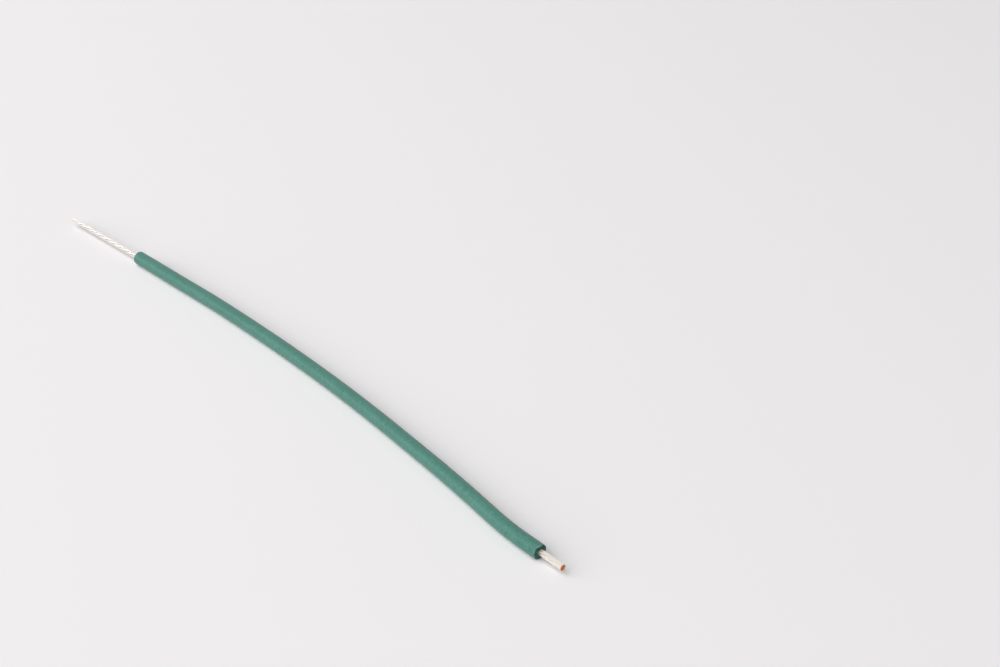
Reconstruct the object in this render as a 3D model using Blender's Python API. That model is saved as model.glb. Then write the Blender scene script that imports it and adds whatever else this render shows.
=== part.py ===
"""Stripped lead wire: seven twisted tinned strands in an extruded jacket, bared at both ends.

The wire lies on its side in one gentle bow. All sizes are in metres and +Z is up.
X runs along the wire, from the short bare end to the long one, and Z = 0 is the table.
"""

import math

import bmesh
import bpy
import numpy as np
from mathutils import Vector

# Jacket
JACKET_DIAMETER = 0.0015
JACKET_LENGTH = 0.0710
JACKET_SIDES = 20
JACKET_STATION_STEP = 0.0015
EDGE_ROUNDING = 0.00006
EDGE_SEGMENTS = 2
MOUTH_RADIUS = 0.00043
MOUTH_DEPTH = 0.0002

# Core of seven strands: one straight, six laid round it
STRAND_DIAMETER = 0.0002
OUTER_STRANDS = 6
STRAND_CLEARANCE = 0.00001
BORE_CLEARANCE = 0.000021
LAY_LENGTH = 0.0080
LAY_HAND = -1
STRAND_SIDES = 8
STATIONS_PER_TURN_COVERED = 8
STATIONS_PER_TURN_BARE = 14

# Length of core that stands out of the jacket at its short end
SHORT_BARE_LENGTH = 0.0030

# Centre line of the wire as it lies on the table, short bare end first
ROUTE_POINTS = (
    (-0.0435, 0.00109),
    (-0.0405, 0.00114),
    (-0.0365, 0.00114),
    (-0.0315, 0.00067),
    (-0.0255, 0.00007),
    (-0.0195, -0.00038),
    (-0.0135, -0.00077),
    (-0.0075, -0.00104),
    (-0.0015, -0.00116),
    (0.0045, -0.00116),
    (0.0105, -0.00104),
    (0.0165, -0.00081),
    (0.0225, -0.00041),
    (0.0265, -0.00016),
    (0.0305, 0.00011),
    (0.0370, 0.00059),
    (0.0435, 0.00109),
)
ROUTE_SAMPLES_PER_SPAN = 24

# Sizes that follow from the ones above
JACKET_RADIUS = JACKET_DIAMETER / 2
STRAND_RADIUS = STRAND_DIAMETER / 2
LAY_ANGLE = math.atan(math.pi * 2 * STRAND_DIAMETER / LAY_LENGTH)
PITCH_RADIUS = STRAND_DIAMETER / math.cos(LAY_ANGLE) + STRAND_CLEARANCE
CORE_RADIUS = PITCH_RADIUS + STRAND_RADIUS
BORE_RADIUS = CORE_RADIUS + BORE_CLEARANCE
JACKET_START = SHORT_BARE_LENGTH
JACKET_END = SHORT_BARE_LENGTH + JACKET_LENGTH


class Route:
    """A natural cubic spline through the route's points, read by distance along it."""

    def __init__(self, points, samples_per_span):
        knots = np.array(points)
        chords = np.linalg.norm(np.diff(knots, axis=0), axis=1)
        self.parameters = np.concatenate([[0.0], np.cumsum(chords)])
        self.knots = knots
        self.bends = self._second_derivatives(knots, chords)
        count = samples_per_span * len(chords) + 1
        self.samples = np.linspace(0.0, self.parameters[-1], count)
        places = np.array([self._place(value)[0] for value in self.samples])
        steps = np.linalg.norm(np.diff(places, axis=0), axis=1)
        self.distances = np.concatenate([[0.0], np.cumsum(steps)])
        self.length = float(self.distances[-1])

    @staticmethod
    def _second_derivatives(knots, chords):
        """Solve the spline's tridiagonal system, with no bend at either end."""
        count = len(knots)
        matrix = np.eye(count)
        right = np.zeros((count, 2))
        for i in range(1, count - 1):
            before = chords[i - 1]
            after = chords[i]
            matrix[i, i - 1] = before
            matrix[i, i] = 2 * (before + after)
            matrix[i, i + 1] = after
            slope_after = (knots[i + 1] - knots[i]) / after
            slope_before = (knots[i] - knots[i - 1]) / before
            right[i] = 6 * (slope_after - slope_before)
        return np.linalg.solve(matrix, right)

    def _place(self, value):
        """Return the point and the direction at one spline parameter."""
        last_span = len(self.knots) - 2
        span = int(np.searchsorted(self.parameters, value, side="right")) - 1
        span = min(max(span, 0), last_span)
        width = self.parameters[span + 1] - self.parameters[span]
        a = (self.parameters[span + 1] - value) / width
        b = 1 - a
        bend_a = self.bends[span]
        bend_b = self.bends[span + 1]
        point = a * self.knots[span] + b * self.knots[span + 1]
        point = point + ((a**3 - a) * bend_a + (b**3 - b) * bend_b) * width**2 / 6
        slope = (self.knots[span + 1] - self.knots[span]) / width
        slope = slope + ((3 * b**2 - 1) * bend_b - (3 * a**2 - 1) * bend_a) * width / 6
        return point, slope

    def frame(self, distance):
        """Return the centre, the sideways direction and the up direction at a distance."""
        value = float(np.interp(distance, self.distances, self.samples))
        point, slope = self._place(value)
        along = Vector((slope[0], slope[1], 0.0)).normalized()
        up = Vector((0.0, 0.0, 1.0))
        side = up.cross(along)
        return Vector((point[0], point[1], JACKET_RADIUS)), side, up


def clear_scene():
    """Remove every object that the new file opens with."""
    for item in list(bpy.data.objects):
        bpy.data.objects.remove(item, do_unlink=True)


def make_material(name, colour, roughness, metallic):
    """Return a Principled material of one colour."""
    material = bpy.data.materials.new(name)
    material.use_nodes = True
    shader = material.node_tree.nodes["Principled BSDF"]
    shader.inputs["Base Color"].default_value = (*colour, 1.0)
    shader.inputs["Roughness"].default_value = roughness
    shader.inputs["Metallic"].default_value = metallic
    material.diffuse_color = (*colour, 1.0)
    return material


def section_ring(frame, radius, sides):
    """Return the points of a circle about the wire's centre line."""
    centre, side, up = frame
    ring = []
    for i in range(sides):
        angle = 2 * math.pi * i / sides - math.pi / 2
        ring.append(centre + radius * (math.cos(angle) * side + math.sin(angle) * up))
    return ring


def strand_ring(frame, turn):
    """Return the section of an outer strand, which is laid round the centre line at an angle."""
    centre, side, up = frame
    outward = math.cos(turn) * side + math.sin(turn) * up
    around = -math.sin(turn) * side + math.cos(turn) * up
    middle = centre + PITCH_RADIUS * outward
    stretched = STRAND_RADIUS / math.cos(LAY_ANGLE)
    ring = []
    for i in range(STRAND_SIDES):
        angle = 2 * math.pi * i / STRAND_SIDES
        ring.append(middle + STRAND_RADIUS * math.cos(angle) * outward + stretched * math.sin(angle) * around)
    return ring


def skin_rings(mesh, rings, closed):
    """Join rings of points into a wall, closed on itself or capped flat at both ends."""
    loops = [[mesh.verts.new(point) for point in ring] for ring in rings]
    sides = len(loops[0])
    pairs = list(zip(loops, loops[1:]))
    if closed:
        pairs.append((loops[-1], loops[0]))
    for near, far in pairs:
        for i in range(sides):
            j = (i + 1) % sides
            mesh.faces.new((near[i], near[j], far[j], far[i]))
    if not closed:
        mesh.faces.new(list(reversed(loops[0])))
        mesh.faces.new(loops[-1])
    bmesh.ops.recalc_face_normals(mesh, faces=mesh.faces)


def add_solid(name, rings, closed, material):
    """Build one named object from its rings, shaded smooth with sharp cut edges."""
    mesh = bmesh.new()
    skin_rings(mesh, rings, closed)
    data = bpy.data.meshes.new(name)
    mesh.to_mesh(data)
    mesh.free()
    data.materials.append(material)
    data.shade_smooth()
    data.set_sharp_from_angle(angle=math.radians(50))
    solid = bpy.data.objects.new(name, data)
    bpy.context.collection.objects.link(solid)
    return solid


def even_stations(start, end, step):
    """Return distances from start to end, both included, no further apart than step."""
    count = math.ceil((end - start) / step - 1e-9)
    return list(np.linspace(start, end, count + 1))


def strand_stations(length):
    """Return a strand's stations, which lie closer together where the strand is bare."""
    covered_step = LAY_LENGTH / STATIONS_PER_TURN_COVERED
    bare_step = LAY_LENGTH / STATIONS_PER_TURN_BARE
    short_end = even_stations(0.0, JACKET_START, bare_step)
    covered = even_stations(JACKET_START, JACKET_END, covered_step)
    long_end = even_stations(JACKET_END, length, bare_step)
    return short_end[:-1] + covered[:-1] + long_end


def rounded_edge():
    """Return the (setback, radius) pairs round the jacket's outer corner, cut face first."""
    pairs = []
    for i in range(EDGE_SEGMENTS + 1):
        angle = math.pi / 2 * i / EDGE_SEGMENTS
        setback = EDGE_ROUNDING * (1 - math.cos(angle))
        radius = JACKET_RADIUS - EDGE_ROUNDING * (1 - math.sin(angle))
        pairs.append((setback, radius))
    return pairs


def jacket_rings(route):
    """Return the jacket's rings: out along its skin, over a cut face and back down the bore."""
    edge = rounded_edge()
    skin_start = JACKET_START + EDGE_ROUNDING
    skin_end = JACKET_END - EDGE_ROUNDING
    bore_start = JACKET_START + MOUTH_DEPTH
    bore_end = JACKET_END - MOUTH_DEPTH
    outline = [(JACKET_START + setback, radius) for setback, radius in edge[:-1]]
    outline += [(place, JACKET_RADIUS) for place in even_stations(skin_start, skin_end, JACKET_STATION_STEP)]
    outline += [(JACKET_END - setback, radius) for setback, radius in reversed(edge[:-1])]
    outline.append((JACKET_END, MOUTH_RADIUS))
    bore = even_stations(bore_start, bore_end, JACKET_STATION_STEP)
    outline += [(place, BORE_RADIUS) for place in reversed(bore)]
    outline.append((JACKET_START, MOUTH_RADIUS))
    return [section_ring(route.frame(place), radius, JACKET_SIDES) for place, radius in outline]


def build_jacket(route, material):
    """Build the extruded jacket, with its bore and both cut faces."""
    add_solid("insulation_jacket", jacket_rings(route), True, material)


def build_centre_strand(route, material):
    """Build the strand that runs straight down the middle of the core."""
    stations = even_stations(0.0, route.length, JACKET_STATION_STEP)
    rings = [section_ring(route.frame(place), STRAND_RADIUS, STRAND_SIDES) for place in stations]
    add_solid("centre_strand", rings, False, material)


def build_outer_strands(route, material):
    """Build the six strands laid round the centre strand, evenly spaced."""
    stations = strand_stations(route.length)
    for number in range(OUTER_STRANDS):
        start_turn = 2 * math.pi * number / OUTER_STRANDS
        rings = []
        for place in stations:
            turn = start_turn + LAY_HAND * 2 * math.pi * place / LAY_LENGTH
            rings.append(strand_ring(route.frame(place), turn))
        add_solid(f"outer_strand_{number + 1}", rings, False, material)


def main():
    """Build the wire's eight pieces."""
    clear_scene()
    route = Route(ROUTE_POINTS, ROUTE_SAMPLES_PER_SPAN)
    jacket_green = make_material("jacket_green", (0.09, 0.30, 0.235), 0.45, 0.0)
    tinned_copper = make_material("tinned_copper", (0.80, 0.79, 0.76), 0.25, 1.0)
    build_jacket(route, jacket_green)
    build_centre_strand(route, tinned_copper)
    build_outer_strands(route, tinned_copper)


main()
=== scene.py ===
"""Dresses a stripped lead wire: its extruded jacket, its seven laid strands, the table and the light.

Each piece is first drawn as a straight blank, and is then laid along the wire's centre line by one
Geometry Nodes tree. All sizes are in metres.
"""

from __future__ import annotations

import logging
import math
from dataclasses import dataclass, replace
from enum import Enum
from functools import partial, reduce

import bpy
import numpy as np
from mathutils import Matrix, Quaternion, Vector

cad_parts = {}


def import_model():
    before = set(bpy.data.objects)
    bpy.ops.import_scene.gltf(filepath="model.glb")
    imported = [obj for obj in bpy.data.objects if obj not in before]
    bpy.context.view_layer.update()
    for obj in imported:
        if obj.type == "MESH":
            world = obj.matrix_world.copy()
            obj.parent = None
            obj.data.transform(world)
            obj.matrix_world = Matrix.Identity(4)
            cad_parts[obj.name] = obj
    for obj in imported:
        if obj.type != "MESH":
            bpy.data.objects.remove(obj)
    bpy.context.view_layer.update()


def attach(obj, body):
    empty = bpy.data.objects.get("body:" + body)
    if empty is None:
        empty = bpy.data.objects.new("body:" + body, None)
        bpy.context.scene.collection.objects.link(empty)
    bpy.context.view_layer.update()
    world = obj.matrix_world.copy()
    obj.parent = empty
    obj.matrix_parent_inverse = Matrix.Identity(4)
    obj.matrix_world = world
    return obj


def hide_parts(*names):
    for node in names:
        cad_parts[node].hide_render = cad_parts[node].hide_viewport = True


LOG = logging.getLogger("lead_wire")
BODY = "root"
SHARP_ANGLE = math.radians(60)
ROUNDING_SLACK = 1e-9

# Attributes that a blank carries from its straight form to its laid one
STRAIGHT_PLACE = "straight_place"
SKIN_SHARE = "skin_share"
WHITENING_AND_RIM_HIGHLIGHT = "whitening_and_rim_highlight"
PAINTED_CUT_SHADE = "painted_cut_shade"
CUT_FACE = "cut_face"

Socket = bpy.types.NodeSocket
Colour = tuple[float, float, float]
Waves = tuple[float, float, float]
Range = tuple[float, float]


@dataclass(frozen=True)
class WireSizes:
    """The sizes of the real wire, from which the place of every piece follows.

    The lay hand is 1 for a right-hand lay and -1 for a left-hand one.
    """

    jacket_diameter: float = 0.0015
    jacket_length: float = 0.0710
    short_bare_length: float = 0.0030
    strand_diameter: float = 0.0002
    strand_clearance: float = 0.00001
    bore_clearance: float = 0.000021
    lay_length: float = 0.0080
    lay_hand: int = -1
    outer_strands: int = 6
    mouth_radius: float = 0.00043
    mouth_depth: float = 0.0002

    @property
    def jacket_radius(self) -> float:
        """Return half the jacket's diameter, which is also the height of the centre line."""
        return self.jacket_diameter / 2

    @property
    def strand_radius(self) -> float:
        """Return half of a strand's diameter."""
        return self.strand_diameter / 2

    @property
    def lay_angle(self) -> float:
        """Return the angle between an outer strand and the wire's centre line."""
        return math.atan(math.tau * self.strand_diameter / self.lay_length)

    @property
    def pitch_radius(self) -> float:
        """Return the distance from the centre line to the middle of an outer strand."""
        return self.strand_diameter / math.cos(self.lay_angle) + self.strand_clearance

    @property
    def bore_radius(self) -> float:
        """Return the radius of the jacket's bore."""
        return self.pitch_radius + self.strand_radius + self.bore_clearance

    @property
    def jacket_start(self) -> float:
        """Return the distance along the wire at which the jacket starts."""
        return self.short_bare_length

    @property
    def jacket_end(self) -> float:
        """Return the distance along the wire at which the jacket ends."""
        return self.short_bare_length + self.jacket_length


class Route:
    """The wire's centre line: a natural cubic spline through points of the wire as it lies."""

    POINTS = (
        (-0.0435, 0.00109),
        (-0.0405, 0.00114),
        (-0.0365, 0.00114),
        (-0.0315, 0.00067),
        (-0.0255, 0.00007),
        (-0.0195, -0.00038),
        (-0.0135, -0.00077),
        (-0.0075, -0.00104),
        (-0.0015, -0.00116),
        (0.0045, -0.00116),
        (0.0105, -0.00104),
        (0.0165, -0.00081),
        (0.0225, -0.00041),
        (0.0265, -0.00016),
        (0.0305, 0.00011),
        (0.0370, 0.00059),
        (0.0435, 0.00109),
    )
    SAMPLES_PER_SPAN = 48

    def __init__(self, height: float) -> None:
        """Fit the spline.

        Args:
            height: The height of the centre line above the table.
        """
        self.height = height
        self.knots = np.array(self.POINTS)
        chords = np.linalg.norm(np.diff(self.knots, axis=0), axis=1)
        self.parameters = np.concatenate([[0.0], np.cumsum(chords)])
        self.bends = self._second_derivatives(chords)
        count = self.SAMPLES_PER_SPAN * len(chords) + 1
        samples = np.linspace(0.0, self.parameters[-1], count)
        self.places = np.array([self._place(value) for value in samples])
        steps = np.linalg.norm(np.diff(self.places, axis=0), axis=1)
        self.distances = np.concatenate([[0.0], np.cumsum(steps)])

    @property
    def length(self) -> float:
        """Return the whole length of the centre line."""
        return float(self.distances[-1])

    def _second_derivatives(self, chords: np.ndarray) -> np.ndarray:
        """Solve the spline's tridiagonal system, with no bend at either end.

        Args:
            chords: The straight distances between neighbouring points.

        Returns:
            The spline's second derivative at each point.
        """
        count = len(self.knots)
        matrix = np.eye(count)
        right = np.zeros((count, 2))
        for i in range(1, count - 1):
            before = chords[i - 1]
            after = chords[i]
            matrix[i, i - 1] = before
            matrix[i, i] = 2 * (before + after)
            matrix[i, i + 1] = after
            slope_after = (self.knots[i + 1] - self.knots[i]) / after
            slope_before = (self.knots[i] - self.knots[i - 1]) / before
            right[i] = 6 * (slope_after - slope_before)
        return np.linalg.solve(matrix, right)

    def _place(self, value: float) -> np.ndarray:
        """Find a point of the spline.

        Args:
            value: The spline's parameter there.

        Returns:
            The point's X and Y.
        """
        last_span = len(self.knots) - 2
        span = int(np.searchsorted(self.parameters, value, side="right")) - 1
        span = min(max(span, 0), last_span)
        width = self.parameters[span + 1] - self.parameters[span]
        a = (self.parameters[span + 1] - value) / width
        b = 1 - a
        point = a * self.knots[span] + b * self.knots[span + 1]
        return point + ((a**3 - a) * self.bends[span] + (b**3 - b) * self.bends[span + 1]) * width**2 / 6

    def point(self, distance: float) -> Vector:
        """Find a point of the centre line.

        Args:
            distance: The distance to it along the wire, from the short bare tip.

        Returns:
            The point.
        """
        x = np.interp(distance, self.distances, self.places[:, 0])
        y = np.interp(distance, self.distances, self.places[:, 1])
        return Vector((float(x), float(y), self.height))

    def guide(self) -> bpy.types.Object:
        """Make the centre line as a curve, which the laying tree reads.

        Returns:
            The curve's object.
        """
        data = bpy.data.curves.new("centre_line", "CURVE")
        data.dimensions = "3D"
        line = data.splines.new("POLY")
        line.points.add(len(self.places) - 1)
        for knot, (x, y) in zip(line.points, self.places):
            knot.co = (x, y, self.height, 1.0)
        guide = bpy.data.objects.new("centre_line", data)
        bpy.context.collection.objects.link(guide)
        return guide


@dataclass(frozen=True)
class Grain:
    """A pattern of noise.

    Attributes:
        waves: The number of waves in a metre, for all axes or for each of them.
        detail: The number of finer layers.
    """

    waves: Waves | float
    detail: float


class NodeGraph:
    """A hand for building node trees: it adds nodes, feeds their inputs and does sums."""

    COLUMN = 190
    ROWS = 6
    ROW = 220

    # The places of a Mix node's colour inputs and of its colour output
    MIX_FIRST = 6
    MIX_SECOND = 7
    MIX_RESULT = 2

    def __init__(self, tree: bpy.types.NodeTree) -> None:
        """Keep the tree that is built."""
        self.tree = tree

    def add(self, kind: str, **settings: object) -> bpy.types.Node:
        """Add a node.

        Args:
            kind: The node's type.
            settings: Values for the node's own properties.

        Returns:
            The new node.
        """
        node = self.tree.nodes.new(kind)
        count = len(self.tree.nodes)
        node.location = (count // self.ROWS * self.COLUMN, -(count % self.ROWS) * self.ROW)
        for name, value in settings.items():
            setattr(node, name, value)
        return node

    def feed(self, target: Socket, value: object) -> None:
        """Give an input its value.

        Args:
            target: The input.
            value: The socket that is linked to it, or a constant.
        """
        if isinstance(value, Socket):
            self.tree.links.new(value, target)
        else:
            target.default_value = value

    def sum(self, operation: str, *values: object, clamp: bool = False) -> Socket:
        """Add a Math node.

        Args:
            operation: The sum to do, such as MULTIPLY.
            values: One socket or number for each input.
            clamp: Whether the result is held between 0 and 1.

        Returns:
            The node's output.
        """
        node = self.add("ShaderNodeMath", operation=operation, use_clamp=clamp)
        for target, value in zip(node.inputs, values):
            self.feed(target, value)
        return node.outputs[0]

    def times(self, *values: object) -> Socket:
        """Return the product of all the values."""
        return reduce(partial(self.sum, "MULTIPLY"), values)

    def plus(self, *values: object) -> Socket:
        """Return the total of all the values."""
        return reduce(partial(self.sum, "ADD"), values)

    def minus(self, first: object, second: object) -> Socket:
        """Return the first value less the second."""
        return self.sum("SUBTRACT", first, second)

    def vector_sum(self, operation: str, first: object, second: object = None) -> Socket:
        """Add a Vector Math node.

        Args:
            operation: The sum to do, such as CROSS_PRODUCT.
            first: The first vector.
            second: The second vector, or the number by which SCALE multiplies.

        Returns:
            The node's vector.
        """
        node = self.add("ShaderNodeVectorMath", operation=operation)
        self.feed(node.inputs[0], first)
        if second is not None:
            self.feed(node.inputs["Scale"] if operation == "SCALE" else node.inputs[1], second)
        return node.outputs[0]

    def split(self, vector: Socket) -> tuple[Socket, ...]:
        """Take a vector apart.

        Args:
            vector: The vector.

        Returns:
            Its three numbers.
        """
        node = self.add("ShaderNodeSeparateXYZ")
        self.feed(node.inputs[0], vector)
        return tuple(node.outputs)

    def join(self, *values: object) -> Socket:
        """Put a vector together.

        Args:
            values: Up to three numbers. Those that are left out are zero.

        Returns:
            The vector.
        """
        node = self.add("ShaderNodeCombineXYZ")
        for target, value in zip(node.inputs, values):
            self.feed(target, value)
        return node.outputs[0]

    def noise(self, place: Socket, grain: Grain, seed: object = 0.0) -> Socket:
        """Add a Noise node.

        Args:
            place: The coordinates that the noise reads.
            grain: The pattern's waves and detail.
            seed: The fourth coordinate, which picks another pattern.

        Returns:
            The noise, from 0 to 1.
        """
        scale = grain.waves
        if isinstance(scale, tuple):
            place = self.vector_sum("MULTIPLY", place, scale)
            scale = 1.0
        node = self.add("ShaderNodeTexNoise", noise_dimensions="4D")
        self.feed(node.inputs["Vector"], place)
        self.feed(node.inputs["W"], seed)
        self.feed(node.inputs["Scale"], scale)
        self.feed(node.inputs["Detail"], grain.detail)
        return node.outputs[0]

    def remap(self, value: Socket, before: Range, after: Range = (0.0, 1.0)) -> Socket:
        """Move a value from one range to another, and hold it there.

        Args:
            value: The value.
            before: The range that it comes from.
            after: The range that it goes to.

        Returns:
            The moved value.
        """
        node = self.add("ShaderNodeMapRange", clamp=True)
        for target, number in zip(node.inputs, (value, *before, *after)):
            self.feed(target, number)
        return node.outputs[0]

    def blend(self, share: object, first: object, second: object) -> Socket:
        """Mix two colours.

        Args:
            share: How much of the second colour is in the mix, from 0 to 1.
            first: The first colour.
            second: The second colour.

        Returns:
            The mixed colour.
        """
        node = self.add("ShaderNodeMix", data_type="RGBA")
        self.feed(node.inputs[0], share)
        self.feed(node.inputs[self.MIX_FIRST], first)
        self.feed(node.inputs[self.MIX_SECOND], second)
        return node.outputs[self.MIX_RESULT]

    def straight_place(self) -> Socket:
        """Return the place that a point of a material had on its straight blank."""
        return self.add("ShaderNodeAttribute", attribute_name=STRAIGHT_PLACE).outputs["Vector"]

    def named_value(self, name: str) -> Socket:
        """Return the number that a named attribute holds, for a material."""
        return self.add("ShaderNodeAttribute", attribute_name=name).outputs["Fac"]


@dataclass(frozen=True)
class Ripple:
    """The fine unevenness of a drawn or extruded surface.

    Attributes:
        height: The whole height of the ripple.
        along: The number of its waves in a metre along the wire.
        across: The number of its waves in a metre across the wire.
    """

    height: float
    along: float
    across: float

    def inputs(self, seed: int) -> dict[str, float]:
        """Return the ripple's inputs of the laying tree.

        Args:
            seed: The seed of the piece's irregularities.

        Returns:
            A value for each named input.
        """
        return {
            "Ripple Height": self.height,
            "Ripple Waves Along": self.along,
            "Ripple Waves Across": self.across,
            "Seed": float(seed),
        }


class LayingTree:
    """The Geometry Nodes tree that lays a straight blank along the wire's centre line.

    A point's place on the blank is its distance along the wire, its distance out from the
    blank's own axis and its distance around the core from that axis.
    """

    SIZES = (
        "Pitch Radius",
        "Turns Per Metre",
        "Start Turn",
        "Looseness",
        "Turn Wobble",
        "Bare Until",
        "Bare From",
        "Ripple Height",
        "Ripple Waves Along",
        "Ripple Waves Across",
        "Seed",
    )
    UP = (0.0, 0.0, 1.0)

    # The ripple reads a place that is already counted in waves
    RIPPLE = Grain(1.0, 3.0)
    DRIFT = Grain(260.0, 1.0)
    WANDER = Grain(150.0, 1.0)
    WANDER_SEED = 0.5
    NOISE_MIDDLE = 0.5
    BARE_STEP = 0.0006

    def __init__(self, guide: bpy.types.Object) -> None:
        """Build the tree with its named inputs.

        Args:
            guide: The curve object of the centre line.
        """
        self.guide = guide
        self.tree = bpy.data.node_groups.new("lay_along_centre_line", "GeometryNodeTree")
        self.tree.is_modifier = True
        self.graph = NodeGraph(self.tree)
        self._declare()
        self.inputs = self.graph.add("NodeGroupInput").outputs
        self._build()

    def _declare(self) -> None:
        """Give the tree its named inputs and its output."""
        make = self.tree.interface.new_socket
        make("Geometry", in_out="INPUT", socket_type="NodeSocketGeometry")
        make("Centre Line", in_out="INPUT", socket_type="NodeSocketObject")
        for name in self.SIZES:
            make(name, in_out="INPUT", socket_type="NodeSocketFloat")
        make("Skin Material", in_out="INPUT", socket_type="NodeSocketMaterial")
        make("Cut Material", in_out="INPUT", socket_type="NodeSocketMaterial")
        make("Geometry", in_out="OUTPUT", socket_type="NodeSocketGeometry")

    def _build(self) -> None:
        """Join up the nodes, from the blank's own place to the laid place."""
        position = self.graph.add("GeometryNodeInputPosition").outputs[0]
        along, out, around = self.graph.split(position)
        out, around = self._rippled(along, out, around)
        sideways, upwards = self._turned(along, out, around)
        self._finish(position, self._carried(along, sideways, upwards))

    def _rippled(self, along: Socket, out: Socket, around: Socket) -> tuple[Socket, Socket]:
        """Swell the section by the surface ripple.

        Args:
            along: A point's distance along the wire.
            out: Its distance out from the blank's axis.
            around: Its distance around from the blank's axis.

        Returns:
            The new distances out and around.
        """
        graph = self.graph
        across = self.inputs["Ripple Waves Across"]
        waves = graph.join(
            graph.times(along, self.inputs["Ripple Waves Along"]),
            graph.times(out, across),
            graph.times(around, across),
        )
        noise = graph.noise(waves, self.RIPPLE, self.inputs["Seed"])
        skin = graph.add("GeometryNodeInputNamedAttribute", data_type="FLOAT")
        graph.feed(skin.inputs["Name"], SKIN_SHARE)
        height = self.inputs["Ripple Height"]
        ripple = graph.times(graph.minus(noise, self.NOISE_MIDDLE), height, skin.outputs[0])
        radius = graph.sum("SQRT", graph.plus(graph.times(out, out), graph.times(around, around)))
        swell = graph.plus(graph.sum("DIVIDE", ripple, radius), 1.0)
        return graph.times(out, swell), graph.times(around, swell)

    def _bare_share(self, along: Socket) -> Socket:
        """Tell the bare ends from the length inside the jacket.

        Args:
            along: A point's distance along the wire.

        Returns:
            1 where the strand is bare and 0 inside the jacket, with a soft step.
        """
        graph = self.graph
        before = graph.minus(self.inputs["Bare Until"], along)
        after = graph.minus(along, self.inputs["Bare From"])
        outside = graph.sum("MAXIMUM", before, after)
        return graph.sum("DIVIDE", outside, self.BARE_STEP, clamp=True)

    def _turned(self, along: Socket, out: Socket, around: Socket) -> tuple[Socket, Socket]:
        """Lay the blank round the core.

        Args:
            along: A point's distance along the wire.
            out: Its distance out from the blank's axis.
            around: Its distance around from the blank's axis.

        Returns:
            The point's distances sideways and upwards from the centre line.
        """
        graph = self.graph
        inputs = self.inputs
        bare = self._bare_share(along)
        line_place = graph.join(along)
        drift = graph.noise(line_place, self.DRIFT, inputs["Seed"])
        loose = graph.times(drift, inputs["Looseness"], bare)
        reach = graph.plus(inputs["Pitch Radius"], loose, out)
        wander = graph.noise(line_place, self.WANDER, self.WANDER_SEED)
        wander = graph.times(graph.minus(wander, self.NOISE_MIDDLE), inputs["Turn Wobble"], bare)
        turns = graph.times(along, inputs["Turns Per Metre"], math.tau)
        turn = graph.plus(turns, inputs["Start Turn"], wander)
        cosine = graph.sum("COSINE", turn)
        sine = graph.sum("SINE", turn)
        sideways = graph.minus(graph.times(cosine, reach), graph.times(sine, around))
        upwards = graph.plus(graph.times(sine, reach), graph.times(cosine, around))
        return sideways, upwards

    def _carried(self, along: Socket, sideways: Socket, upwards: Socket) -> Socket:
        """Carry a point along the centre line.

        Args:
            along: The point's distance along the wire.
            sideways: Its distance sideways from the centre line.
            upwards: Its distance upwards from the centre line.

        Returns:
            The point's laid place.
        """
        graph = self.graph
        line = graph.add("GeometryNodeObjectInfo", transform_space="ORIGINAL")
        graph.feed(line.inputs["Object"], self.inputs["Centre Line"])
        sample = graph.add("GeometryNodeSampleCurve", mode="LENGTH", use_all_curves=True)
        graph.feed(sample.inputs["Curves"], line.outputs["Geometry"])
        graph.feed(sample.inputs["Length"], along)
        side = graph.vector_sum("CROSS_PRODUCT", self.UP, sample.outputs["Tangent"])
        side = graph.vector_sum("NORMALIZE", side)
        sideways = graph.vector_sum("SCALE", side, sideways)
        upwards = graph.vector_sum("SCALE", self.UP, upwards)
        offset = graph.vector_sum("ADD", sideways, upwards)
        return graph.vector_sum("ADD", sample.outputs["Position"], offset)

    def _finish(self, position: Socket, laid: Socket) -> None:
        """Move the points, keep their straight places and give the faces their materials.

        Args:
            position: A point's place on the straight blank.
            laid: Its laid place.
        """
        graph = self.graph
        keep = graph.add("GeometryNodeStoreNamedAttribute", data_type="FLOAT_VECTOR", domain="POINT")
        graph.feed(keep.inputs["Geometry"], self.inputs["Geometry"])
        graph.feed(keep.inputs["Name"], STRAIGHT_PLACE)
        graph.feed(keep.inputs["Value"], position)
        place = graph.add("GeometryNodeSetPosition")
        graph.feed(place.inputs["Geometry"], keep.outputs[0])
        graph.feed(place.inputs["Position"], laid)
        realise = graph.add("GeometryNodeRealizeInstances")
        graph.feed(realise.inputs[0], place.outputs[0])
        skin = graph.add("GeometryNodeSetMaterial")
        graph.feed(skin.inputs["Geometry"], realise.outputs[0])
        graph.feed(skin.inputs["Material"], self.inputs["Skin Material"])
        is_cut = graph.add("GeometryNodeInputNamedAttribute", data_type="BOOLEAN")
        graph.feed(is_cut.inputs["Name"], CUT_FACE)
        cut = graph.add("GeometryNodeSetMaterial")
        graph.feed(cut.inputs["Geometry"], skin.outputs[0])
        graph.feed(cut.inputs["Selection"], is_cut.outputs[0])
        graph.feed(cut.inputs["Material"], self.inputs["Cut Material"])
        graph.feed(graph.add("NodeGroupOutput").inputs[0], cut.outputs[0])

    def lay(self, blank: bpy.types.Object, name: str, values: dict[str, object]) -> bpy.types.Object:
        """Lay a blank along the centre line and keep the result as a plain mesh.

        Args:
            blank: The straight blank, which is used up.
            name: The finished piece's name.
            values: Values for the tree's named inputs. Those that are left out are zero.

        Returns:
            The finished piece, at the origin, with its place in its mesh.
        """
        values = {"Centre Line": self.guide, **values}
        modifier = blank.modifiers.new("lay", "NODES")
        modifier.node_group = self.tree
        for item in self.tree.interface.items_tree:
            if item.in_out == "INPUT" and item.name in values:
                modifier[item.identifier] = values[item.name]
        blank.update_tag()
        depsgraph = bpy.context.evaluated_depsgraph_get()
        mesh = bpy.data.meshes.new_from_object(blank.evaluated_get(depsgraph))
        mesh.name = name
        bpy.data.objects.remove(blank, do_unlink=True)
        piece = bpy.data.objects.new(name, mesh)
        bpy.context.collection.objects.link(piece)
        return piece


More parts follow.
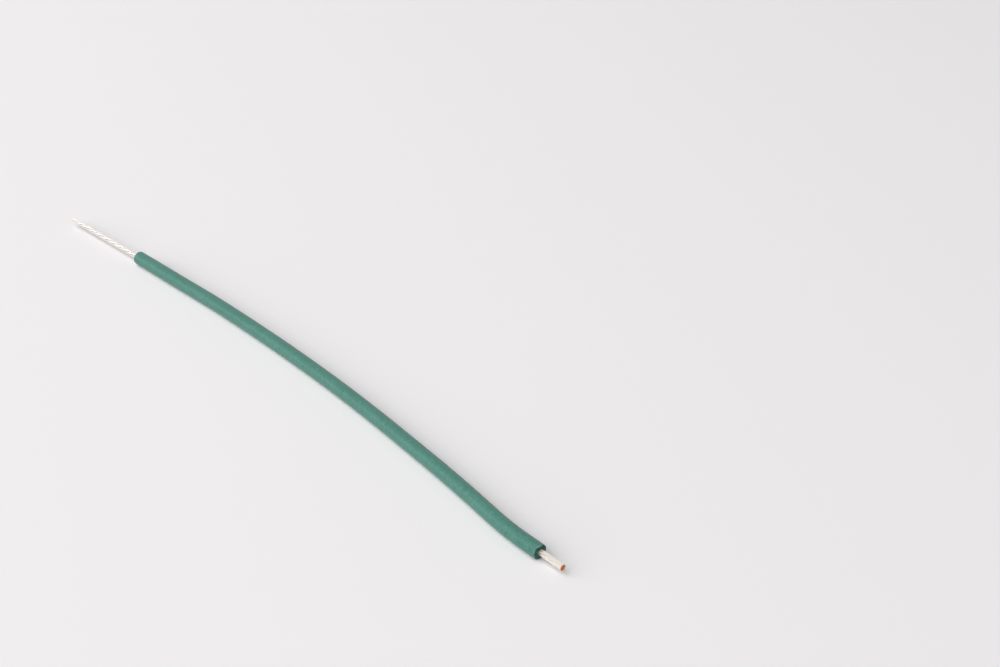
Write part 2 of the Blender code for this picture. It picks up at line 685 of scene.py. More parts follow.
@dataclass(frozen=True)
class Ring:
    """One ring of a straight blank.

    Attributes:
        along: Distance from the short bare tip.
        radius: Distance from the blank's own axis.
        skin: How much of the surface ripple this ring takes, from 0 to 1.
        whitening_and_rim_highlight: How pale the material is here, from 0 to 1, partly plastic that the
            cut stretched and partly a painted highlight on the cut's rim.
        painted_cut_shade: How much painted shade darkens the material here, on the cut face and deep in
            the mouth, from 0 to 1.
        cut: Whether the faces from here to the next ring are bare cut material.
        ragged: How far the ring may stray from its place, as a cut edge does.
        drawn: How far the tongue draws this ring out, from 0 to 1.
        pressed: How far the section is pressed against its neighbours here, from 0 to 1.
    """

    along: float
    radius: float
    skin: float = 1.0
    whitening_and_rim_highlight: float = 0.0
    painted_cut_shade: float = 0.0
    cut: bool = False
    ragged: float = 0.0
    drawn: float = 0.0
    pressed: float = 1.0


@dataclass(frozen=True)
class Tongue:
    """A small tongue of material that the stripping blade tore out of a cut edge.

    Attributes:
        reach: How far it stands out along the wire.
        turn: Where it stands round the wire, from the side towards the top.
        half_width: Half of the angle that it takes up.
    """

    reach: float = 0.00014
    turn: float = math.radians(84)
    half_width: float = math.radians(17)

    def share(self, angles: np.ndarray) -> np.ndarray:
        """Return how much of its reach the tongue has at each angle."""
        apart = (angles - self.turn + math.pi) % math.tau - math.pi
        return np.exp(-((apart / self.half_width) ** 2))


@dataclass(frozen=True)
class PressedSection:
    """The section of an outer strand, pressed between its neighbours when the core was laid up.

    Attributes:
        pitch: Distance from the core's centre to the strand's own centre.
        radius: Radius of the round strand before it was pressed.
        strands: The number of strands laid round the core.
        spread: How much wider the pressed strand is than the round one.
        gap: Half of the gap that is left between two pressed strands.
    """

    pitch: float
    radius: float
    strands: int
    spread: float = 1.24
    gap: float = 0.0000015

    def outline(self, angles: np.ndarray) -> np.ndarray:
        """Return the section's outline about the strand's centre.

        Args:
            angles: The angle of each point, measured from outwards.

        Returns:
            A row for each point: its distance outwards and around, in strand radii.
        """
        inward = self.radius * (self.spread - 1.0)
        out = self.pitch - inward + self.radius * self.spread * np.cos(angles)
        around = self.radius * self.spread * np.sin(angles)
        reach = np.maximum(np.hypot(out, around), self.radius + 2 * self.gap)
        widest = math.pi / self.strands - self.gap / reach
        turn = np.clip(np.arctan2(around, out), -widest, widest)
        out = reach * np.cos(turn) - self.pitch
        around = reach * np.sin(turn)
        return np.stack([out, around], axis=1) / self.radius


@dataclass
class Blank:
    """A straight piece drawn along X through a list of rings.

    Attributes:
        name: The blank's name.
        rings: The rings in order, from the short end to the long one.
        sides: The number of points in a ring.
        hollow: Whether the last ring joins the first, as on a tube with a bore.
        seed: The seed of the ragged edges.
        tongue: The tongue that some of the rings are drawn out to.
        pressed: The section of the piece, where it isn't round.
    """

    name: str
    rings: list[Ring]
    sides: int
    hollow: bool
    seed: int
    tongue: Tongue = Tongue()
    pressed: PressedSection | None = None

    ORDERS = (2, 3, 5, 8, 13, 21)
    ORDER_POWER = 0.4
    WAVE_DIVISOR = 2

    def __post_init__(self) -> None:
        """Start the random numbers of the ragged edges."""
        self.random = np.random.default_rng(self.seed)

    def _wave(self, angles: np.ndarray) -> np.ndarray:
        """Draw a closed random wave round a ring.

        Args:
            angles: The angle of each point of the ring.

        Returns:
            The wave at each point, from about -1 to 1.
        """
        total = np.zeros(len(angles))
        for order in self.ORDERS:
            phase = self.random.uniform(0.0, math.tau)
            total += np.sin(order * angles + phase) / order**self.ORDER_POWER
        return total / self.WAVE_DIVISOR

    def _ring_points(self, ring: Ring) -> np.ndarray:
        """Place the points of one ring, strayed a little where its edge is ragged.

        Args:
            ring: The ring.

        Returns:
            A row for each point: its distances along, out and around.
        """
        angles = np.arange(self.sides) * math.tau / self.sides
        outline = np.stack([np.cos(angles), np.sin(angles)], axis=1)
        if self.pressed:
            outline += ring.pressed * (self.pressed.outline(angles) - outline)
        radius = np.full(self.sides, ring.radius)
        along = np.full(self.sides, ring.along)
        if ring.ragged:
            radius = radius + ring.ragged * self._wave(angles)
            along = along + ring.ragged * self._wave(angles)
        if ring.drawn:
            along = along - ring.drawn * self.tongue.reach * self.tongue.share(angles)
        return np.stack([along, radius * outline[:, 0], radius * outline[:, 1]], axis=1)

    def _wall(self) -> list[tuple[int, ...]]:
        """Join each ring to the next.

        Returns:
            The points of each face, ring by ring.
        """
        sides = self.sides
        count = len(self.rings)
        faces = []
        for near in range(count if self.hollow else count - 1):
            far = (near + 1) % count
            for i in range(sides):
                j = (i + 1) % sides
                faces.append((near * sides + i, near * sides + j, far * sides + j, far * sides + i))
        return faces

    def _cap(self, ring: int, middle: int) -> list[tuple[int, ...]]:
        """Close one end with a fan of faces.

        Args:
            ring: The number of the ring that is closed.
            middle: The number of the point at its middle.

        Returns:
            The points of each face.
        """
        faces = []
        for i in range(self.sides):
            rim = (ring * self.sides + i, ring * self.sides + (i + 1) % self.sides)
            faces.append((middle, *rim) if ring else (middle, *reversed(rim)))
        return faces

    def build(self) -> bpy.types.Object:
        """Build the blank's mesh with its attributes.

        Returns:
            The blank, closed and with its faces pointing out.
        """
        vertices = np.concatenate([self._ring_points(ring) for ring in self.rings])
        faces = self._wall()
        cuts = [self.rings[number // self.sides].cut for number in range(len(faces))]
        caps = [] if self.hollow else [0, len(self.rings) - 1]
        for ring in caps:
            faces += self._cap(ring, len(vertices))
            cuts += [True] * self.sides
            vertices = np.concatenate([vertices, [(self.rings[ring].along, 0.0, 0.0)]])
        mesh = bpy.data.meshes.new(self.name)
        mesh.from_pydata(vertices.tolist(), [], faces)
        shares = {
            SKIN_SHARE: [ring.skin for ring in self.rings],
            WHITENING_AND_RIM_HIGHLIGHT: [ring.whitening_and_rim_highlight for ring in self.rings],
            PAINTED_CUT_SHADE: [ring.painted_cut_shade for ring in self.rings],
        }
        for name, values in shares.items():
            spread = np.concatenate([np.repeat(values, self.sides), np.zeros(len(caps))])
            mesh.attributes.new(name, "FLOAT", "POINT").data.foreach_set("value", spread)
        mesh.attributes.new(CUT_FACE, "BOOLEAN", "FACE").data.foreach_set("value", cuts)
        blank = bpy.data.objects.new(self.name, mesh)
        bpy.context.collection.objects.link(blank)
        return blank


def opaque(colour: Colour) -> tuple[float, float, float, float]:
    """Return a colour with a full alpha."""
    return (*colour, 1.0)


def principled(name: str) -> tuple[bpy.types.Material, NodeGraph, bpy.types.Node]:
    """Start a material.

    Args:
        name: The material's name.

    Returns:
        The material, the graph of its nodes and its Principled shader.
    """
    material = bpy.data.materials.new(name)
    material.use_nodes = True
    shader = material.node_tree.nodes["Principled BSDF"]
    return material, NodeGraph(material.node_tree), shader


@dataclass(frozen=True)
class Bump:
    """The relief that a material adds to its surface.

    Attributes:
        strength: How much of the relief shows, from 0 to 1.
        height: Its whole height.
    """

    strength: float
    height: float

    def add(self, graph: NodeGraph, shader: bpy.types.Node, relief: Socket) -> None:
        """Give a shader the relief.

        Args:
            graph: The material's graph.
            shader: The material's shader.
            relief: The relief, from 0 to 1.
        """
        node = graph.add("ShaderNodeBump")
        graph.feed(node.inputs["Strength"], self.strength)
        graph.feed(node.inputs["Distance"], self.height)
        graph.feed(node.inputs["Height"], relief)
        graph.feed(shader.inputs["Normal"], node.outputs[0])


@dataclass(frozen=True)
class JacketFinish:
    """Satin teal green PVC, as it comes from the extruder, paled at the rim of each cut, with painted
    shade on the cut faces and in the hollows.

    Attributes:
        green: The colour on the ripple's crests.
        shade: The darker colour: painted shade in the ripple's hollows, and the low side of the slow drift
            in the colour.
        pale: The colour of the specks, and of each cut's pale rim, which is partly plastic that the cut
            stretched and partly a painted highlight.
        painted_cut_shade: The colour of the painted shade on the cut faces and deep in the mouths.
        roughness: The lowest and the highest roughness.
        bump: The relief of the skin.
        ripple: The pattern of the ripple.
        ribs: The pattern of the ribs across the draw.
        streaks: The pattern of the streaks along the draw.
        clouds: The pattern of the slow drift in the colour.
        specks: The pattern of the specks.
        chips: The pattern of the breaks in the paled lip.
        cloud_tone: How much the clouds count in the tone.
        ripple_tone: How much the ripple counts in the tone, and so how much painted shade lies in its
            hollows.
        tones: The tones at which the colour is all shade and all green.
        speck_edge: Where in their pattern the specks start, and where they are full.
        speck_cover: How much they cover there.
        chip_edge: Where in their pattern the lip is broken, and where it is whole.
        chip_cover: How much of the paling is left there.
        painted_cut_shade_edge: Where in the specks' pattern the painted shade of the cut is full, and
            where it is weak.
        painted_cut_shade_cover: How much it covers there.
        ripple_edge: Where in the ripple the roughness is lowest, and where it is highest.
        ripple_relief: The ripple's share in the relief.
        streak_relief: The streaks' share in the relief.
        rib_relief: The ribs' share in the relief.
    """

    green: Colour = (0.067, 0.218, 0.170)
    shade: Colour = (0.030, 0.134, 0.101)
    pale: Colour = (0.17, 0.43, 0.36)
    painted_cut_shade: Colour = (0.014, 0.070, 0.052)
    roughness: Range = (0.26, 0.54)
    bump: Bump = Bump(1.0, 0.000018)
    ripple: Grain = Grain((5000.0, 2600.0, 2600.0), 2.0)
    ribs: Grain = Grain((8200.0, 700.0, 700.0), 1.0)
    streaks: Grain = Grain((160.0, 5200.0, 5200.0), 3.0)
    clouds: Grain = Grain(420.0, 4.0)
    specks: Grain = Grain(5200.0, 2.0)
    chips: Grain = Grain(2600.0, 3.0)
    cloud_tone: float = 0.2
    ripple_tone: float = 0.8
    tones: Range = (0.28, 0.72)
    speck_edge: Range = (0.66, 0.76)
    speck_cover: Range = (0.0, 0.6)
    chip_edge: Range = (0.42, 0.6)
    chip_cover: Range = (0.1, 0.9)
    painted_cut_shade_edge: Range = (0.35, 0.6)
    painted_cut_shade_cover: Range = (1.0, 0.35)
    ripple_edge: Range = (0.25, 0.75)
    ripple_relief: float = 0.6
    streak_relief: float = 0.2
    rib_relief: float = 0.35

    def material(self) -> bpy.types.Material:
        """Make the jacket's material.

        Returns:
            The material.
        """
        material, graph, shader = principled("jacket_pvc")
        place = graph.straight_place()
        ripple = graph.noise(place, self.ripple)
        ribs = graph.noise(place, self.ribs)
        streaks = graph.noise(place, self.streaks)
        clouds = graph.noise(place, self.clouds)
        specks = graph.noise(place, self.specks)
        chips = graph.noise(place, self.chips)

        # The ripple's hollows take the darker colour as painted shade; the clouds add a slow drift in tone
        tone = graph.plus(graph.times(clouds, self.cloud_tone), graph.times(ripple, self.ripple_tone))
        colour = graph.blend(graph.remap(tone, self.tones), opaque(self.shade), opaque(self.green))
        speck = graph.remap(specks, self.speck_edge, self.speck_cover)
        colour = graph.blend(speck, colour, opaque(self.pale))
        # Painted shade on the cut faces and deep in the mouths, weaker where the specks are
        painted_cut_shade = graph.remap(specks, self.painted_cut_shade_edge, self.painted_cut_shade_cover)
        painted_cut_shade = graph.times(graph.named_value(PAINTED_CUT_SHADE), painted_cut_shade)
        colour = graph.blend(painted_cut_shade, colour, opaque(self.painted_cut_shade))
        # The pale rim of each cut: partly plastic that the cut stretched, partly a painted highlight
        whitening_and_rim_highlight = graph.remap(chips, self.chip_edge, self.chip_cover)
        whitening_and_rim_highlight = graph.times(graph.named_value(WHITENING_AND_RIM_HIGHLIGHT), whitening_and_rim_highlight)
        colour = graph.blend(whitening_and_rim_highlight, colour, opaque(self.pale))
        graph.feed(shader.inputs["Base Color"], colour)

        roughness = graph.remap(ripple, self.ripple_edge, self.roughness)
        graph.feed(shader.inputs["Roughness"], roughness)
        relief = graph.plus(
            graph.times(ripple, self.ripple_relief),
            graph.times(streaks, self.streak_relief),
            graph.times(ribs, self.rib_relief),
        )
        self.bump.add(graph, shader, relief)
        return material


@dataclass(frozen=True)
class TinFinish:
    """Bright tin over drawn copper wire, with fine lines along the draw.

    Attributes:
        bright: The colour of clean tin.
        stained_and_shaded: The colour of stained tin, which the short end also takes as painted shade.
        shaded_end: How far the short end takes that colour as painted shade, from 0 to 1.
        shaded_end_edge: The distances along the wire between which the short end's painted shade and added
            roughness end.
        shaded_end_roughness: The roughness added at the short end.
        roughness: The lowest and the highest roughness of clean tin.
        bump: The relief of the skin.
        lines: The pattern of the lines.
        pits: The pattern of the pits.
        stains: The pattern of the stains.
        stain_edge: Where in their pattern the stains start, and where they are full.
        stain_cover: How much they cover there.
        pit_edge: Where in the pits' pattern the roughness is lowest, and where it is highest.
        line_relief: The lines' share in the relief.
        pit_relief: The pits' share in the relief.
    """

    bright: Colour = (0.95, 0.92, 0.885)
    stained_and_shaded: Colour = (0.93, 0.865, 0.80)
    shaded_end: float = 0.7
    shaded_end_edge: Range = (0.003, 0.004)
    shaded_end_roughness: float = 0.30
    roughness: Range = (0.10, 0.22)
    bump: Bump = Bump(0.3, 0.000003)
    lines: Grain = Grain((900.0, 26000.0, 26000.0), 3.0)
    pits: Grain = Grain(9000.0, 3.0)
    stains: Grain = Grain(1500.0, 3.0)
    stain_edge: Range = (0.45, 0.7)
    stain_cover: Range = (0.0, 0.5)
    pit_edge: Range = (0.3, 0.7)
    line_relief: float = 0.6
    pit_relief: float = 0.4

    def material(self) -> bpy.types.Material:
        """Make the tinned strand's material.

        Returns:
            The material.
        """
        material, graph, shader = principled("tinned_strand")
        place = graph.straight_place()
        lines = graph.noise(place, self.lines)
        pits = graph.noise(place, self.pits)
        stains = graph.noise(place, self.stains)

        # The short end takes the stained colour as painted shade, and a rougher skin
        shaded_end = graph.remap(graph.split(place)[0], self.shaded_end_edge, (1.0, 0.0))
        stain_and_shade = graph.remap(stains, self.stain_edge, self.stain_cover)
        stain_and_shade = graph.sum("ADD", stain_and_shade, graph.times(shaded_end, self.shaded_end), clamp=True)
        colour = graph.blend(stain_and_shade, opaque(self.bright), opaque(self.stained_and_shaded))
        graph.feed(shader.inputs["Base Color"], colour)
        shader.inputs["Metallic"].default_value = 1.0

        roughness = graph.remap(pits, self.pit_edge, self.roughness)
        roughness = graph.plus(roughness, graph.times(shaded_end, self.shaded_end_roughness))
        graph.feed(shader.inputs["Roughness"], roughness)
        relief = graph.plus(graph.times(lines, self.line_relief), graph.times(pits, self.pit_relief))
        self.bump.add(graph, shader, relief)
        return material


@dataclass(frozen=True)
class CopperFinish:
    """Freshly sheared copper on the cut tips, darker where the blade smeared it, with painted shade along
    the pinch where the blade's edges met.

    Attributes:
        fresh: The colour of clean copper.
        smeared: The colour where it is smeared.
        pinch_shade: The colour of the painted shade along the pinch, where the blade's edges met.
        roughness: The roughness.
        bump: The relief of the cut.
        smears: The pattern of the smears.
        smear_edge: Where in their pattern the smears start, and where they are full.
        smear_cover: How much they cover there.
        tip_place: The Y and Z of the core's middle, which are the same at both tips.
        pinch_across: The direction across the pinch, in Y and Z.
        pinch_edge: The distances from its middle at which the pinch starts to fade and ends.
        pinch_cover: How much it covers there.
    """

    fresh: Colour = (0.86, 0.26, 0.040)
    smeared: Colour = (0.34, 0.060, 0.012)
    pinch_shade: Colour = (0.12, 0.022, 0.005)
    roughness: float = 0.38
    bump: Bump = Bump(0.5, 0.000006)
    smears: Grain = Grain((1.0, 9000.0, 16000.0), 3.0)
    smear_edge: Range = (0.45, 0.65)
    smear_cover: Range = (0.0, 0.8)
    tip_place: tuple[float, float] = (0.00109, 0.00075)
    pinch_across: tuple[float, float] = (0.8, 0.6)
    pinch_edge: Range = (0.000027, 0.00009)
    pinch_cover: Range = (0.9, 0.0)

    def material(self) -> bpy.types.Material:
        """Make the cut copper's material.

        Returns:
            The material.
        """
        material, graph, shader = principled("cut_copper")
        smears = graph.noise(graph.straight_place(), self.smears)
        smear = graph.remap(smears, self.smear_edge, self.smear_cover)
        colour = graph.blend(smear, opaque(self.fresh), opaque(self.smeared))

        # Painted shade along the pinch, across the middle of each tip
        spot = graph.split(graph.add("ShaderNodeTexCoord").outputs["Object"])
        sideways = graph.minus(spot[1], self.tip_place[0])
        upwards = graph.minus(spot[2], self.tip_place[1])
        across = graph.plus(
            graph.times(sideways, self.pinch_across[0]),
            graph.times(upwards, self.pinch_across[1]),
        )
        pinch = graph.remap(graph.sum("ABSOLUTE", across), self.pinch_edge, self.pinch_cover)
        colour = graph.blend(pinch, colour, opaque(self.pinch_shade))
        graph.feed(shader.inputs["Base Color"], colour)
        shader.inputs["Roughness"].default_value = self.roughness
        shader.inputs["Metallic"].default_value = 1.0
        self.bump.add(graph, shader, smears)
        return material


@dataclass(frozen=True)
class TableFinish:
    """A plain near-white sheet of matt paper.

    Attributes:
        colour: The colour.
        roughness: The roughness.
        shine: How much of a smooth surface's shine is left, from 0 to 1.
    """

    colour: Colour = (0.90, 0.883, 0.892)
    roughness: float = 0.9
    shine: float = 0.0

    def material(self) -> bpy.types.Material:
        """Make the table's material.

        Returns:
            The material.
        """
        material, _, shader = principled("table_paper")
        shader.inputs["Base Color"].default_value = opaque(self.colour)
        shader.inputs["Roughness"].default_value = self.roughness
        shader.inputs["Specular IOR Level"].default_value = self.shine
        return material


def spaced(start: float, end: float, step: float) -> list[float]:
    """Space places evenly.

    Args:
        start: The first place.
        end: The last place.
        step: The greatest distance between two neighbours.

    Returns:
        The places, with the first and the last.
    """
    count = max(1, math.ceil((end - start) / step - ROUNDING_SLACK))
    return [float(place) for place in np.linspace(start, end, count + 1)]


def dress(piece: bpy.types.Object, node: str) -> None:
    """Shade a piece smooth and let it stand for its node on the wire's one body.

    Args:
        piece: The finished piece.
        node: The node that it stands for.
    """
    piece.data.shade_smooth()
    piece.data.set_sharp_from_angle(angle=SHARP_ANGLE)
    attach(piece, BODY)
    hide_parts(node)


@dataclass
class Core:
    """The twisted core: one straight strand and six laid round it, all cut off square.

    Attributes:
        sizes: The wire's sizes.
        route: The wire's centre line.
        tree: The tree that lays the strands.
        tin: The material of a strand's skin.
        copper: The material of its cut faces.
        ripple: The unevenness of its skin.
        sides: The number of points in a section.
        bare_step: The distance between two sections where the strand is bare.
        covered_step: The distance between two sections inside the jacket.
        flat_share: The radius of the even middle of the cut face, in strand radii.
        burr: How far in from the skin the cut face ends.
        rim_share: How far the rounded rim stays inside a square corner, as a share of the burr.
        loose_press: How far the strands are pressed together at the long end, from 0 to 1.
        looseness: How far a bare strand may stand off the core.
        wobble: The angle through which the bare strands may wander round the core.
    """

    sizes: WireSizes
    route: Route
    tree: LayingTree
    tin: bpy.types.Material
    copper: bpy.types.Material
    ripple: Ripple = Ripple(0.000003, 2500.0, 9000.0)
    sides: int = 32
    bare_step: float = 0.00007
    covered_step: float = 0.0005
    flat_share: float = 0.90
    burr: float = 0.000006
    rim_share: float = 0.3
    loose_press: float = 0.15
    looseness: float = 0.000004
    wobble: float = 0.25

    def _pressed(self, along: float) -> float:
        """Return how far the strands are pressed together, which eases off inside the jacket."""
        share = (along - self.sizes.jacket_start) / self.sizes.jacket_length
        return 1.0 + (self.loose_press - 1.0) * min(max(share, 0.0), 1.0)

    def _rings(self) -> list[Ring]:
        """Draw one straight strand, with its copper faces and rounded rims.

        Returns:
            The rings in order, from the short bare tip to the long one.
        """
        sizes = self.sizes
        radius = sizes.strand_radius
        length = self.route.length
        flat = radius * self.flat_share
        rim = self.burr * self.rim_share
        short_tip = [
            Ring(0.0, flat / 2, skin=0.0, cut=True),
            Ring(0.0, flat, skin=0.0, cut=True),
            Ring(0.0, radius - self.burr, skin=0.0, cut=True),
            Ring(rim, radius - rim, skin=0.0),
        ]
        places = spaced(self.burr, sizes.jacket_start, self.bare_step)[:-1]
        places += spaced(sizes.jacket_start, sizes.jacket_end, self.covered_step)[:-1]
        places += spaced(sizes.jacket_end, length - self.burr, self.bare_step)
        wall = [Ring(along, radius, pressed=self._pressed(along)) for along in places]
        long_tip = [
            replace(ring, along=length - ring.along, cut=True, pressed=self.loose_press)
            for ring in reversed(short_tip)
        ]
        return short_tip + wall + long_tip

    def _values(self, seed: int, pitch: float, turn: float) -> dict[str, object]:
        """Choose the laying tree's inputs for one strand.

        Args:
            seed: The seed of its small irregularities.
            pitch: Its distance from the centre line, which is zero for the centre strand.
            turn: Its angle round the core at the short bare tip.

        Returns:
            A value for each named input that isn't zero.
        """
        values = {
            "Bare Until": self.sizes.jacket_start,
            "Bare From": self.sizes.jacket_end,
            "Skin Material": self.tin,
            "Cut Material": self.copper,
            **self.ripple.inputs(seed),
        }
        if pitch:
            values["Pitch Radius"] = pitch
            values["Turns Per Metre"] = self.sizes.lay_hand / self.sizes.lay_length
            values["Start Turn"] = turn
            values["Looseness"] = self.looseness
            values["Turn Wobble"] = self.wobble
        return values

    def _strand(self, node: str, seed: int, pitch: float = 0.0, turn: float = 0.0) -> bpy.types.Object:
        """Make one strand and dress it.

        Args:
            node: The node that it stands for.
            seed: The seed of its small irregularities.
            pitch: Its distance from the centre line, which is zero for the centre strand.
            turn: Its angle round the core at the short bare tip.

        Returns:
            The finished strand.
        """
        sizes = self.sizes
        blank = Blank(f"{node}_blank", self._rings(), self.sides, hollow=False, seed=seed)
        if pitch:
            blank.pressed = PressedSection(pitch, sizes.strand_radius, sizes.outer_strands)
        values = self._values(seed, pitch, turn)
        piece = self.tree.lay(blank.build(), f"{node}_tinned", values)
        dress(piece, node)
        return piece

    def build(self) -> list[bpy.types.Object]:
        """Make all seven strands.

        Returns:
            The finished strands, the centre one first.
        """
        sizes = self.sizes
        strands = [self._strand("centre_strand", 0)]
        for number in range(sizes.outer_strands):
            turn = math.tau * number / sizes.outer_strands
            node = f"outer_strand_{number + 1}"
            strands.append(self._strand(node, number + 1, sizes.pitch_radius, turn))
        return strands


class End(Enum):
    """The jacket's two ends, each with the direction from its cut face into the jacket."""

    SHORT = 1.0
    LONG = -1.0


@dataclass
class Jacket:
    """The extruded jacket, with its bore, its ragged mouths and its two cut faces.

    Attributes:
        sizes: The wire's sizes.
        route: The wire's centre line.
        tree: The tree that lays the jacket.
        pvc: The jacket's material.
        ripple: The unevenness of its skin.
        sides: The number of points in a section.
        skin_step: The distance between two sections of the skin.
        bore_step: The distance between two sections of the bore.
        path_step: The distance between two points of a path along the jacket.
        edge: The rounding of the cut edge.
        rough: How far the cut strays from square.
        ripple_seed: The seed of the ripple.
        cut_seed: The seed of the ragged cuts.
    """

    sizes: WireSizes
    route: Route
    tree: LayingTree
    pvc: bpy.types.Material
    ripple: Ripple = Ripple(0.000008, 1600.0, 500.0)
    sides: int = 72
    skin_step: float = 0.00009
    bore_step: float = 0.0012
    path_step: float = 0.001
    edge: float = 0.00006
    rough: float = 0.000044
    ripple_seed: int = 3
    cut_seed: int = 40

    def _cut_profile(self) -> list[Ring]:
        """Draw a cut end, from the mouth of the bore over the ragged face to the skin.

        Returns:
            The rings in order. Each has its distance back from the cut face as its place.
        """
        bore = self.sizes.bore_radius
        mouth = self.sizes.mouth_radius
        depth = self.sizes.mouth_depth
        skin = self.sizes.jacket_radius
        edge = self.edge
        rough = self.rough
        return [
            # The mouth and the cut face take painted shade
            Ring(depth, bore, skin=0.0, painted_cut_shade=1.0),
            Ring(0.45 * depth, bore + 0.00002, skin=0.0, painted_cut_shade=1.0, ragged=0.6 * rough),
            Ring(0.00003, mouth - 0.00002, skin=0.0, painted_cut_shade=1.0, ragged=rough),
            Ring(0.0, mouth + 0.00003, skin=0.0, painted_cut_shade=0.7, ragged=rough, drawn=0.2),
            Ring(0.000045, mouth + 0.00008, skin=0.0, painted_cut_shade=1.0, ragged=rough, drawn=0.4),
            Ring(0.00001, mouth + 0.00013, skin=0.0, painted_cut_shade=0.7, ragged=rough, drawn=0.6),
            Ring(0.00004, mouth + 0.00018, skin=0.0, painted_cut_shade=0.9, ragged=0.8 * rough, drawn=0.9),
            # From here out to the skin the rim is paled, partly by the stretch of the cut and partly as a
            # painted highlight
            Ring(0.0, skin - 1.2 * edge, skin=0.0, whitening_and_rim_highlight=0.3, painted_cut_shade=0.4, ragged=0.6 * rough, drawn=1.0),
            Ring(0.08 * edge, skin - 0.5 * edge, skin=0.0, whitening_and_rim_highlight=1.0, ragged=0.45 * rough, drawn=1.0),
            Ring(0.5 * edge, skin - 0.08 * edge, skin=0.2, whitening_and_rim_highlight=0.6, ragged=0.25 * rough, drawn=0.9),
            Ring(1.3 * edge, skin, skin=0.6, whitening_and_rim_highlight=0.15, drawn=0.6),
            Ring(2.5 * edge, skin, skin=0.9, drawn=0.25),
        ]

    def _end_rings(self, end: End) -> list[Ring]:
        """Place the rings of one cut end. Only the short end has the drawn-out tongue.

        Args:
            end: The end that is cut.

        Returns:
            The rings in order, from the bore out to the skin.
        """
        is_short = end is End.SHORT
        face = self.sizes.jacket_start if is_short else self.sizes.jacket_end
        return [
            replace(ring, along=face + end.value * ring.along, drawn=ring.drawn if is_short else 0.0)
            for ring in self._cut_profile()
        ]

    def _rings(self) -> list[Ring]:
        """Draw the whole jacket.

        Returns:
            The rings in order, round from the bore over both ends.
        """
        start = self._end_rings(End.SHORT)
        end = self._end_rings(End.LONG)
        skin_places = spaced(start[-1].along + self.edge, end[-1].along - self.edge, self.skin_step)
        skin = [Ring(along, self.sizes.jacket_radius) for along in skin_places]
        bore_places = spaced(start[0].along, end[0].along, self.bore_step)[1:-1]
        bore = [Ring(along, self.sizes.bore_radius, skin=0.0) for along in reversed(bore_places)]
        return start + skin + end[::-1] + bore

    def build(self, strands: list[bpy.types.Object]) -> bpy.types.Object:
        """Args:
            strands: The strands that run through the jacket. They are not used.

        Returns:
            The finished jacket.
        """
        sizes = self.sizes
        blank = Blank("jacket_blank", self._rings(), self.sides, hollow=True, seed=self.cut_seed)
        values = {
            "Skin Material": self.pvc,
            "Cut Material": self.pvc,
            **self.ripple.inputs(self.ripple_seed),
        }
        piece = self.tree.lay(blank.build(), "jacket_extruded", values)
        dress(piece, "insulation_jacket")
        places = spaced(sizes.jacket_start, sizes.jacket_end, self.path_step)
        path = [self.route.point(place) for place in places]
        return piece


@dataclass(frozen=True)
class SoftBox:
    """A square soft box that faces the wire.

    Attributes:
        name: The box's name.
        azimuth: The direction that it stands in, in degrees from +X towards +Y.
        elevation: Its height above the table, in degrees.
        away: Its distance from the wire.
        width: The width of its face.
        power: Its power in watts.
        mirrored: Whether glossy surfaces show it, rather than the pale sky behind it.
    """

    name: str
    azimuth: float
    elevation: float
    away: float
    width: float
    power: float
    mirrored: bool

    def hang(self) -> None:
        """Hang the box in its place."""
        data = bpy.data.lights.new(self.name, "AREA")
        data.shape = "SQUARE"
        data.size = self.width
        data.energy = self.power
        azimuth = math.radians(self.azimuth)
        elevation = math.radians(self.elevation)
        flat = math.cos(elevation)
        towards = Vector((math.cos(azimuth) * flat, math.sin(azimuth) * flat, math.sin(elevation)))
        box = bpy.data.objects.new(self.name, data)
        box.location = towards * self.away
        box.rotation_mode = "QUATERNION"
        box.rotation_quaternion = towards.to_track_quat("Z", "Y")
        box.visible_glossy = self.mirrored
        bpy.context.collection.objects.link(box)


class Lamp(Enum):
    """The two soft boxes: a wall of light on the left, and a smaller box that bright metal shows."""

    WALL = SoftBox(
        "wall_box",
        azimuth=68.0,
        elevation=42.0,
        away=1.05,
        width=1.70,
        power=19.8,
        mirrored=False,
    )
    GLINT = SoftBox(
        "glint_box",
        azimuth=42.0,
        elevation=20.0,
        away=1.00,
        width=0.22,
        power=0.6,
        mirrored=True,
    )


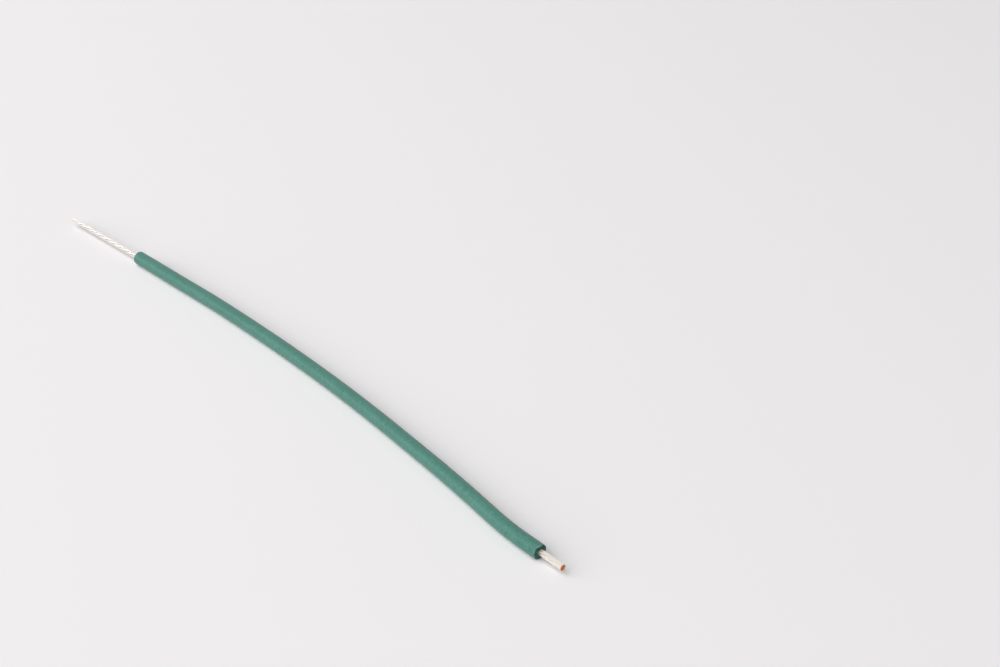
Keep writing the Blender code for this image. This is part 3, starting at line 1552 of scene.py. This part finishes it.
@dataclass
class Studio:
    """The table, the light and the camera.

    Attributes:
        route: The wire's centre line.
        photo_width: The photograph's width in pixels.
        photo_height: Its height in pixels.
        sensor_width: The width of the camera's frame, in millimetres.
        focal_pixels: The lens's focal length in the photograph's pixels.
        near_clip: The least distance at which the camera sees.
        camera_azimuth: The direction that the camera stands in, in degrees from -Y towards +X.
        camera_elevation: Its height above the table, in degrees.
        tip_pixel: The place of the short bare tip in the photograph.
        tip_depth: The distance to that tip along the camera's axis.
        table_width: The width of the square table.
        sky_strength: The strength of the sky as a light on the wire and the table.
        mirrored_sky: The strength of the sky in glossy surfaces.
    """

    route: Route
    photo_width: float = 1000.0
    photo_height: float = 667.0
    sensor_width: float = 36.0
    focal_pixels: float = 1923.6
    near_clip: float = 0.01
    camera_azimuth: float = 230.6
    camera_elevation: float = 30.0
    tip_pixel: tuple[float, float] = (562.9, 567.7)
    tip_depth: float = 0.1669
    table_width: float = 1.9
    sky_strength: float = 0.27
    mirrored_sky: float = 0.85

    def camera(self) -> None:
        """Place the camera so that the short bare tip falls on its place in the photograph."""
        data = bpy.data.cameras.new("camera")
        data.sensor_width = self.sensor_width
        data.lens = self.focal_pixels / self.photo_width * self.sensor_width
        data.clip_start = self.near_clip
        azimuth = math.radians(self.camera_azimuth)
        elevation = math.radians(self.camera_elevation)
        flat = math.cos(elevation)
        back = Vector((math.sin(azimuth) * flat, -math.cos(azimuth) * flat, math.sin(elevation)))
        turn: Quaternion = (-back).to_track_quat("-Z", "Y")
        right = (self.tip_pixel[0] - self.photo_width / 2) / self.focal_pixels
        down = (self.tip_pixel[1] - self.photo_height / 2) / self.focal_pixels
        sight = Vector((right, -down, -1.0)) * self.tip_depth
        camera = bpy.data.objects.new("camera", data)
        camera.rotation_mode = "QUATERNION"
        camera.rotation_quaternion = turn
        camera.location = self.route.point(0.0) - turn @ sight
        bpy.context.collection.objects.link(camera)
        bpy.context.scene.camera = camera

    def table(self) -> None:
        """Lay the pale table under the wire."""
        half = self.table_width / 2
        corners = [(-half, -half, 0.0), (half, -half, 0.0), (half, half, 0.0), (-half, half, 0.0)]
        mesh = bpy.data.meshes.new("table")
        mesh.from_pydata(corners, [], [(0, 1, 2, 3)])
        mesh.materials.append(TableFinish().material())
        table = bpy.data.objects.new("table", mesh)
        bpy.context.collection.objects.link(table)

    def sky(self) -> None:
        """Surround the scene with even light, which the camera sees as white."""
        world = bpy.data.worlds.new("soft_sky")
        world.use_nodes = True
        graph = NodeGraph(world.node_tree)
        path = graph.add("ShaderNodeLightPath").outputs
        mirrored = graph.times(path["Is Glossy Ray"], self.mirrored_sky)
        strength = graph.sum("MAXIMUM", path["Is Camera Ray"], mirrored)
        strength = graph.sum("MAXIMUM", strength, self.sky_strength)
        background = world.node_tree.nodes["Background"]
        background.inputs["Color"].default_value = (1.0, 1.0, 1.0, 1.0)
        graph.feed(background.inputs["Strength"], strength)
        bpy.context.scene.world = world

    def build(self) -> None:
        """Set up the camera, the table, the lamps and the sky."""
        bpy.context.scene.view_settings.view_transform = "Standard"
        self.camera()
        self.table()
        for lamp in Lamp:
            lamp.value.hang()
        self.sky()


def main() -> None:
    """Build the studio, the core and the jacket in order, and report each piece."""
    logging.basicConfig(level=logging.INFO, format="%(name)s: %(message)s")
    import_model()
    sizes = WireSizes()
    route = Route(sizes.jacket_radius)
    Studio(route).build()
    guide = route.guide()
    tree = LayingTree(guide)
    tin = TinFinish().material()
    copper = CopperFinish().material()
    strands = Core(sizes, route, tree, tin, copper).build()
    jacket = Jacket(sizes, route, tree, JacketFinish().material()).build(strands)
    bpy.data.objects.remove(guide, do_unlink=True)
    for piece in (*strands, jacket):
        LOG.info("%s is finished, with %d faces", piece.name, len(piece.data.polygons))


if __name__ == "__main__":
    main()
